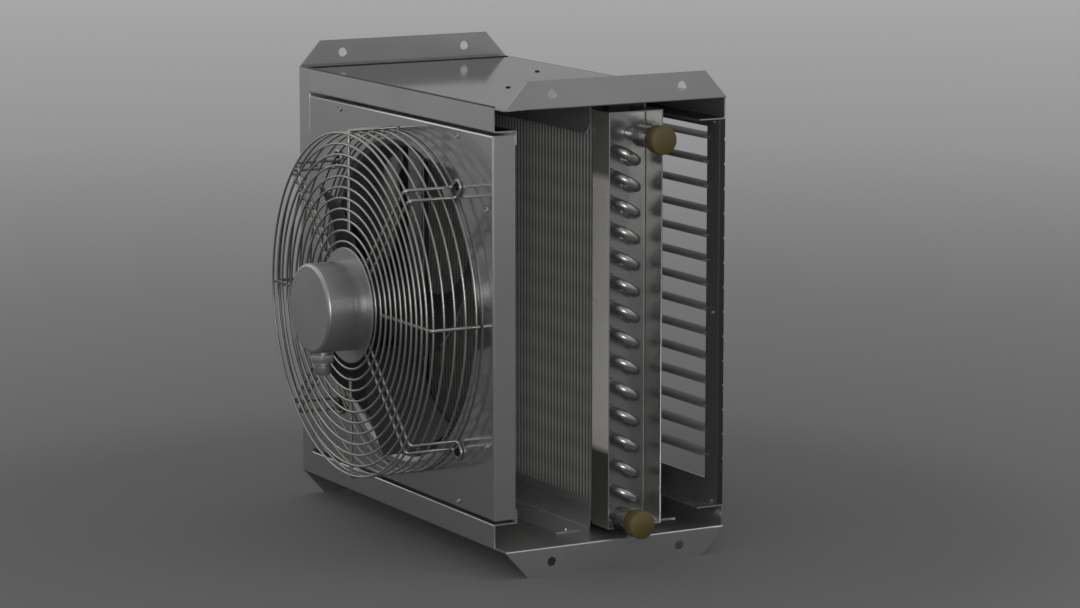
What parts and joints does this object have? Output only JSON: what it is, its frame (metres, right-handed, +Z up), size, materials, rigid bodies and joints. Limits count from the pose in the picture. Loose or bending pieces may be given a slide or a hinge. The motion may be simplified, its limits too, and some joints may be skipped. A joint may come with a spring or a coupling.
{
  "type": "unit heater",
  "caption": "Sheet-steel unit heater with a guarded axial fan, finned serpentine coil, side pipe connections and tilting discharge louvres; one side cover off.",
  "frame": {"origin": "centre of the bounding box, on the floor under the feet", "axes": "+Z up, +Y with the air from the fan to the louvres, +X towards the open side with the pipe connections"},
  "size_m": [0.545, 0.415, 0.558],
  "materials": {
    "galvanised_sheet": "satin galvanised sheet",
    "fan_plate_steel": "glossy galvanised sheet",
    "guard_wire": "bright plated wire",
    "motor_shell": "satin grey shell",
    "gland_metal": "satin grey gland",
    "bare_steel": "turned steel",
    "fan_blade_steel": "satin black coat",
    "coil_tube_steel": "galvanised tube",
    "fin_aluminium": "thin dull fins",
    "brass_end": "dull olive brass",
    "louvre_steel": "satin galvanised slats"
  },
  "bodies": {
    "casing": {"top_panel": "galvanised_sheet", "bottom_panel": "galvanised_sheet", "left_side_panel": "galvanised_sheet", "fan_plate": "fan_plate_steel", "inlet_nozzle": "fan_plate_steel", "guard_front_rings": "guard_wire", "guard_side_rings": "guard_wire", "guard_spokes": "guard_wire", "guard_supports": "guard_wire", "guard_clips": "guard_wire", "motor_housing": "motor_shell", "motor_flange": "motor_shell", "cable_gland": "gland_metal", "gland_nut": "gland_metal", "near_tube_sheet": "galvanised_sheet", "far_tube_sheet": "galvanised_sheet", "coil_tubes": "coil_tube_steel", "near_return_bends": "coil_tube_steel", "far_return_bends": "coil_tube_steel", "coil_fins": "fin_aluminium", "coil_rails": "galvanised_sheet", "connection_stubs": "coil_tube_steel", "connection_unions": "bare_steel", "connection_ends": "brass_end", "front_upper_baffle": "galvanised_sheet", "front_lower_baffle": "galvanised_sheet", "rear_upper_baffle": "galvanised_sheet", "rear_lower_baffle": "galvanised_sheet", "louvre_frame": "galvanised_sheet"},
    "fan": {"motor_shaft": "bare_steel", "impeller": "fan_blade_steel", "hub_nut": "bare_steel"},
    "louvre_01": {"louvre_blade_01": "louvre_steel"},
    "louvre_02": {"louvre_blade_02": "louvre_steel"},
    "louvre_03": {"louvre_blade_03": "louvre_steel"},
    "louvre_04": {"louvre_blade_04": "louvre_steel"},
    "louvre_05": {"louvre_blade_05": "louvre_steel"},
    "louvre_06": {"louvre_blade_06": "louvre_steel"},
    "louvre_07": {"louvre_blade_07": "louvre_steel"},
    "louvre_08": {"louvre_blade_08": "louvre_steel"},
    "louvre_09": {"louvre_blade_09": "louvre_steel"},
    "louvre_10": {"louvre_blade_10": "louvre_steel"},
    "louvre_11": {"louvre_blade_11": "louvre_steel"},
    "louvre_12": {"louvre_blade_12": "louvre_steel"},
    "louvre_13": {"louvre_blade_13": "louvre_steel"},
    "louvre_14": {"louvre_blade_14": "louvre_steel"}
  },
  "joints": [
    {"name": "fan_spin", "type": "hinge", "parent": "casing", "child": "fan", "pos_m": [-0.0125, -0.0925, 0.279], "axis": [0, 1, 0], "continuous": true},
    {"name": "louvre_01_tilt", "type": "hinge", "parent": "casing", "child": "louvre_01", "pos_m": [-0.0125, 0.1925, 0.4786], "axis": [1, 0, 0], "range_deg": [-45, 45]},
    {"name": "louvre_02_tilt", "type": "hinge", "parent": "casing", "child": "louvre_02", "pos_m": [-0.0125, 0.1925, 0.4503], "axis": [1, 0, 0], "range_deg": [-45, 45]},
    {"name": "louvre_03_tilt", "type": "hinge", "parent": "casing", "child": "louvre_03", "pos_m": [-0.0125, 0.1925, 0.422], "axis": [1, 0, 0], "range_deg": [-45, 45]},
    {"name": "louvre_04_tilt", "type": "hinge", "parent": "casing", "child": "louvre_04", "pos_m": [-0.0125, 0.1925, 0.3937], "axis": [1, 0, 0], "range_deg": [-45, 45]},
    {"name": "louvre_05_tilt", "type": "hinge", "parent": "casing", "child": "louvre_05", "pos_m": [-0.0125, 0.1925, 0.3654], "axis": [1, 0, 0], "range_deg": [-45, 45]},
    {"name": "louvre_06_tilt", "type": "hinge", "parent": "casing", "child": "louvre_06", "pos_m": [-0.0125, 0.1925, 0.3371], "axis": [1, 0, 0], "range_deg": [-45, 45]},
    {"name": "louvre_07_tilt", "type": "hinge", "parent": "casing", "child": "louvre_07", "pos_m": [-0.0125, 0.1925, 0.3088], "axis": [1, 0, 0], "range_deg": [-45, 45]},
    {"name": "louvre_08_tilt", "type": "hinge", "parent": "casing", "child": "louvre_08", "pos_m": [-0.0125, 0.1925, 0.2805], "axis": [1, 0, 0], "range_deg": [-45, 45]},
    {"name": "louvre_09_tilt", "type": "hinge", "parent": "casing", "child": "louvre_09", "pos_m": [-0.0125, 0.1925, 0.2522], "axis": [1, 0, 0], "range_deg": [-45, 45]},
    {"name": "louvre_10_tilt", "type": "hinge", "parent": "casing", "child": "louvre_10", "pos_m": [-0.0125, 0.1925, 0.2239], "axis": [1, 0, 0], "range_deg": [-45, 45]},
    {"name": "louvre_11_tilt", "type": "hinge", "parent": "casing", "child": "louvre_11", "pos_m": [-0.0125, 0.1925, 0.1956], "axis": [1, 0, 0], "range_deg": [-45, 45]},
    {"name": "louvre_12_tilt", "type": "hinge", "parent": "casing", "child": "louvre_12", "pos_m": [-0.0125, 0.1925, 0.1673], "axis": [1, 0, 0], "range_deg": [-45, 45]},
    {"name": "louvre_13_tilt", "type": "hinge", "parent": "casing", "child": "louvre_13", "pos_m": [-0.0125, 0.1925, 0.139], "axis": [1, 0, 0], "range_deg": [-45, 45]},
    {"name": "louvre_14_tilt", "type": "hinge", "parent": "casing", "child": "louvre_14", "pos_m": [-0.0125, 0.1925, 0.1107], "axis": [1, 0, 0], "range_deg": [-45, 45]}
  ]
}
